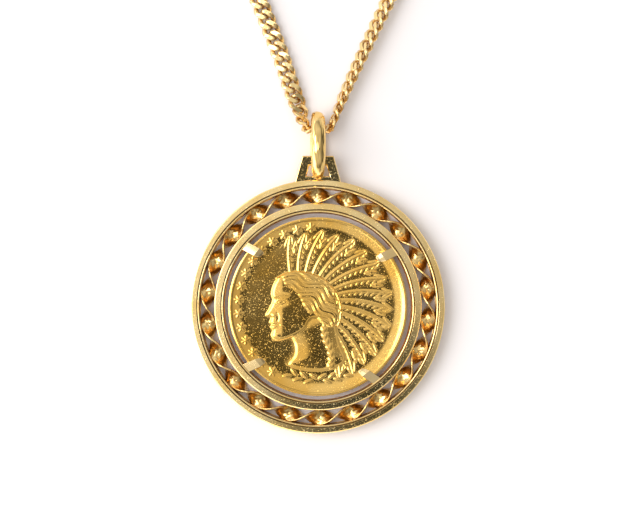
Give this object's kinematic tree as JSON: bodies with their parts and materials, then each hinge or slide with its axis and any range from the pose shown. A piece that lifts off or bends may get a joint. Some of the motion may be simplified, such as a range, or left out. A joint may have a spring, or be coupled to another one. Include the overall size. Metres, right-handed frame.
{
  "type": "coin pendant on a curb chain",
  "caption": "Gold coin held by claws in a pierced frame of rings joined by a twisted ribbon, hung by a lug and bail from a curb chain that lies in a loop.",
  "frame": {"origin": "centre of the round frame, on the flat back that it lies on", "axes": "+Z out of the coin's front, +Y from the coin towards the bail and the chain, +X to the right of the coin seen from the front"},
  "size_m": [0.121, 0.2513, 0.007],
  "materials": {
    "frame_gold": "polished gold with fine scratches",
    "coin_gold": "struck coin gold, bright on the relief",
    "bail_gold": "polished gold",
    "chain_gold": "polished, diamond-cut faces"
  },
  "bodies": {
    "root": {"mount": "frame_gold", "coin": "coin_gold", "bail": "bail_gold", "chain_left": "chain_gold", "chain_right": "chain_gold", "clasp": "chain_gold"}
  },
  "joints": []
}
